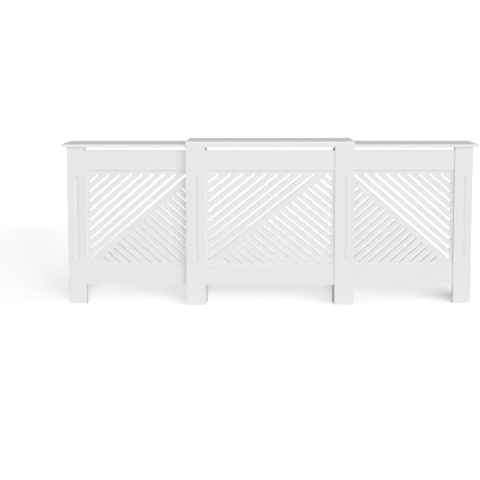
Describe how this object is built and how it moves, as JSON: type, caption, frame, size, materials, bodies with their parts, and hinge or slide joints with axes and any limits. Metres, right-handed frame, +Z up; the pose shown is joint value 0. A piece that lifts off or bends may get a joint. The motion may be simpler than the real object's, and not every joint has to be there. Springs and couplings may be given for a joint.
{
  "type": "extending radiator cover",
  "caption": "White extending radiator cover: a centre front and top with two slotted end units that slide in behind and under it, open at the back.",
  "frame": {"origin": "on the floor, under the middle of the cover", "axes": "+X along the front, to the right as seen from the room; +Y to the wall behind, so the front faces -Y; +Z up"},
  "size_m": [2.034, 0.2, 0.81],
  "materials": {
    "painted_board": "white satin paint on fibreboard",
    "dowel_wood": "plain beech",
    "screw_steel": "zinc plated",
    "bracket_steel": "zinc plated sheet",
    "block_plastic": "white moulded"
  },
  "bodies": {
    "centre_unit": {"centre_top": "painted_board", "centre_leg_left": "painted_board", "centre_leg_right": "painted_board", "centre_apron": "painted_board", "centre_top_rail": "painted_board", "centre_bottom_rail": "painted_board", "centre_lattice": "painted_board", "centre_panel_dowels": "dowel_wood", "centre_top_dowels": "dowel_wood"},
    "left_unit": {"left_shelf": "painted_board", "left_leg": "painted_board", "left_gable": "painted_board", "left_top_rail": "painted_board", "left_bottom_rail": "painted_board", "left_lattice": "painted_board", "left_inner_post": "painted_board", "left_dowels": "dowel_wood", "left_post_screws": "screw_steel", "left_corner_blocks": "block_plastic", "left_block_screws": "screw_steel", "left_wall_bracket": "bracket_steel", "left_bracket_screws": "screw_steel"},
    "right_unit": {"right_shelf": "painted_board", "right_leg": "painted_board", "right_gable": "painted_board", "right_top_rail": "painted_board", "right_bottom_rail": "painted_board", "right_lattice": "painted_board", "right_inner_post": "painted_board", "right_dowels": "dowel_wood", "right_post_screws": "screw_steel", "right_corner_blocks": "block_plastic", "right_block_screws": "screw_steel", "right_wall_bracket": "bracket_steel", "right_bracket_screws": "screw_steel"}
  },
  "joints": [
    {"name": "left_slide", "type": "slide", "parent": "centre_unit", "child": "left_unit", "axis": [1, 0, 0], "range_m": [0, 0.3105]},
    {"name": "right_slide", "type": "slide", "parent": "centre_unit", "child": "right_unit", "axis": [-1, 0, 0], "range_m": [0, 0.3105]}
  ]
}
